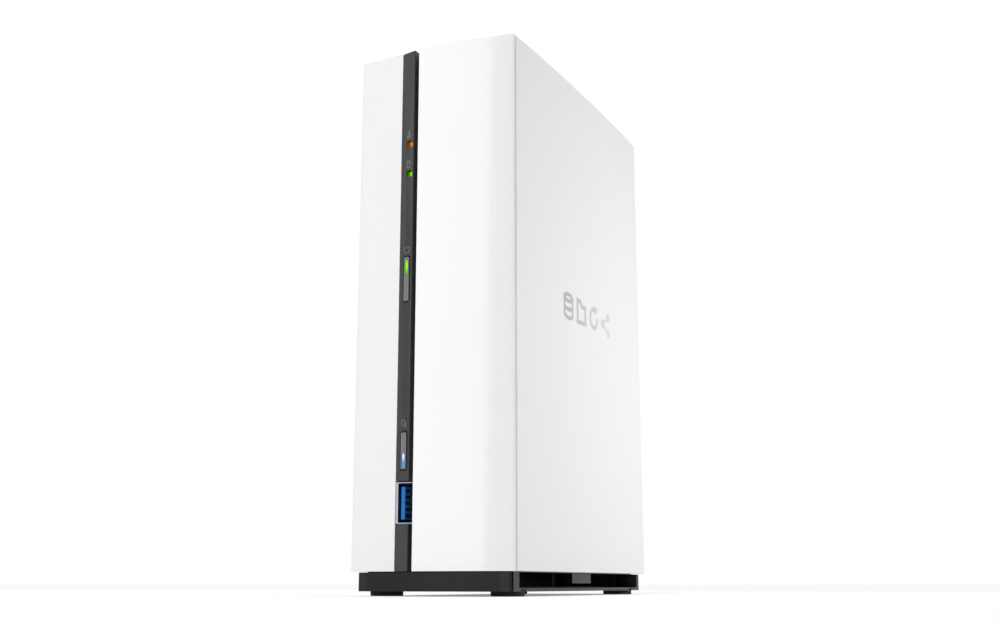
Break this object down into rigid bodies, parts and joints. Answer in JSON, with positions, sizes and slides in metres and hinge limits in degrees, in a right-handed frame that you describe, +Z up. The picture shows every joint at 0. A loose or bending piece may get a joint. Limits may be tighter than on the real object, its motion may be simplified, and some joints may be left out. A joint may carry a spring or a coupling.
{
  "type": "network attached storage",
  "caption": "Upright one-bay network storage box: curved white front with a dark control strip, sliding U-shaped cover, black vented base, fan, board and hard drive inside.",
  "frame": {"origin": "centre of the footprint, on the surface that the feet stand on", "axes": "+Z up; -Y is the front, with the control strip; +X is to the right as seen from the front"},
  "size_m": [0.06, 0.125, 0.1877],
  "materials": {
    "gloss_white": "high gloss moulded plastic",
    "satin_white": "satin moulded plastic",
    "satin_black": "satin moulded plastic with a fine grain",
    "deep_black": "moulded glass-filled plastic",
    "rubber": "soft matt rubber",
    "smoked_grey": "polished translucent plastic",
    "amber_light": "lit lens",
    "green_light": "lit lens",
    "blue_light": "lit lens",
    "usb_blue": "moulded plastic",
    "steel": "zinc-plated steel",
    "nickel": "nickel-plated steel",
    "aluminium": "cast and machined",
    "circuit_green": "solder resist on glass-fibre board",
    "chip_black": "moulded epoxy",
    "ivory": "moulded nylon"
  },
  "bodies": {
    "chassis": {"wing_left": "gloss_white", "wing_right": "gloss_white", "front_frame": "satin_black", "front_strip": "satin_black", "lan_light_pipe": "amber_light", "drive_light_pipe": "green_light", "power_switch": "chip_black", "copy_switch": "chip_black", "front_usb_shell": "nickel", "front_usb_tongue": "usb_blue", "base": "satin_black", "foot_front_left": "rubber", "foot_front_right": "rubber", "foot_rear_left": "rubber", "foot_rear_right": "rubber", "base_screw_front": "steel", "base_screw_rear": "steel", "rear_panel": "satin_black", "reset_switch": "chip_black", "fan_frame": "deep_black", "fan_lead": "deep_black", "fan_header": "ivory", "fan_screw_1": "steel", "fan_screw_2": "steel", "fan_screw_3": "steel", "fan_screw_4": "steel", "chassis": "steel", "drive_tray": "steel", "drive_casting": "aluminium", "drive_lid": "nickel", "drive_board": "circuit_green", "drive_screw_front_1": "steel", "drive_screw_front_2": "steel", "drive_screw_rear_1": "steel", "drive_screw_rear_2": "steel", "main_board": "circuit_green", "board_screw_1": "steel", "board_screw_2": "steel", "board_screw_3": "steel", "processor": "chip_black", "heat_sink": "aluminium", "memory_chip_1": "chip_black", "memory_chip_2": "chip_black", "lan_jack": "nickel", "rear_usb_shell": "nickel", "rear_usb_tongue": "deep_black", "power_jack": "chip_black", "sata_connector": "chip_black", "coin_cell_holder": "chip_black", "coin_cell": "nickel"},
    "cover": {"outer_cover": "satin_white"},
    "thumbscrew": {"cover_thumbscrew": "nickel"},
    "power_button": {"power_button_cap": "smoked_grey", "power_button_lens": "green_light", "power_switch_plunger": "ivory"},
    "copy_button": {"copy_button_cap": "smoked_grey", "copy_button_lens": "blue_light", "copy_switch_plunger": "ivory"},
    "reset_button": {"reset_button": "ivory"},
    "fan": {"fan_rotor": "deep_black"}
  },
  "joints": [
    {"name": "cover_slide", "type": "slide", "parent": "chassis", "child": "cover", "axis": [0, 1, 0], "range_m": [0, 0.125]},
    {"name": "thumbscrew_turn", "type": "hinge", "parent": "cover", "child": "thumbscrew", "pos_m": [0, 0.0592, 0.1792], "axis": [0, 1, 0], "continuous": true},
    {"name": "power_button_press", "type": "slide", "parent": "chassis", "child": "power_button", "axis": [0, 1, 0], "range_m": [0, 0.0005], "stiffness_N_per_m": 1200, "springref_m": -0.0005},
    {"name": "copy_button_press", "type": "slide", "parent": "chassis", "child": "copy_button", "axis": [0, 1, 0], "range_m": [0, 0.0005], "stiffness_N_per_m": 1200, "springref_m": -0.0005},
    {"name": "reset_button_press", "type": "slide", "parent": "chassis", "child": "reset_button", "axis": [0, -1, 0], "range_m": [0, 0.0005], "stiffness_N_per_m": 1200, "springref_m": -0.0005},
    {"name": "fan_spin", "type": "hinge", "parent": "chassis", "child": "fan", "pos_m": [0, 0.0542, 0.145], "axis": [0, 1, 0], "continuous": true}
  ]
}
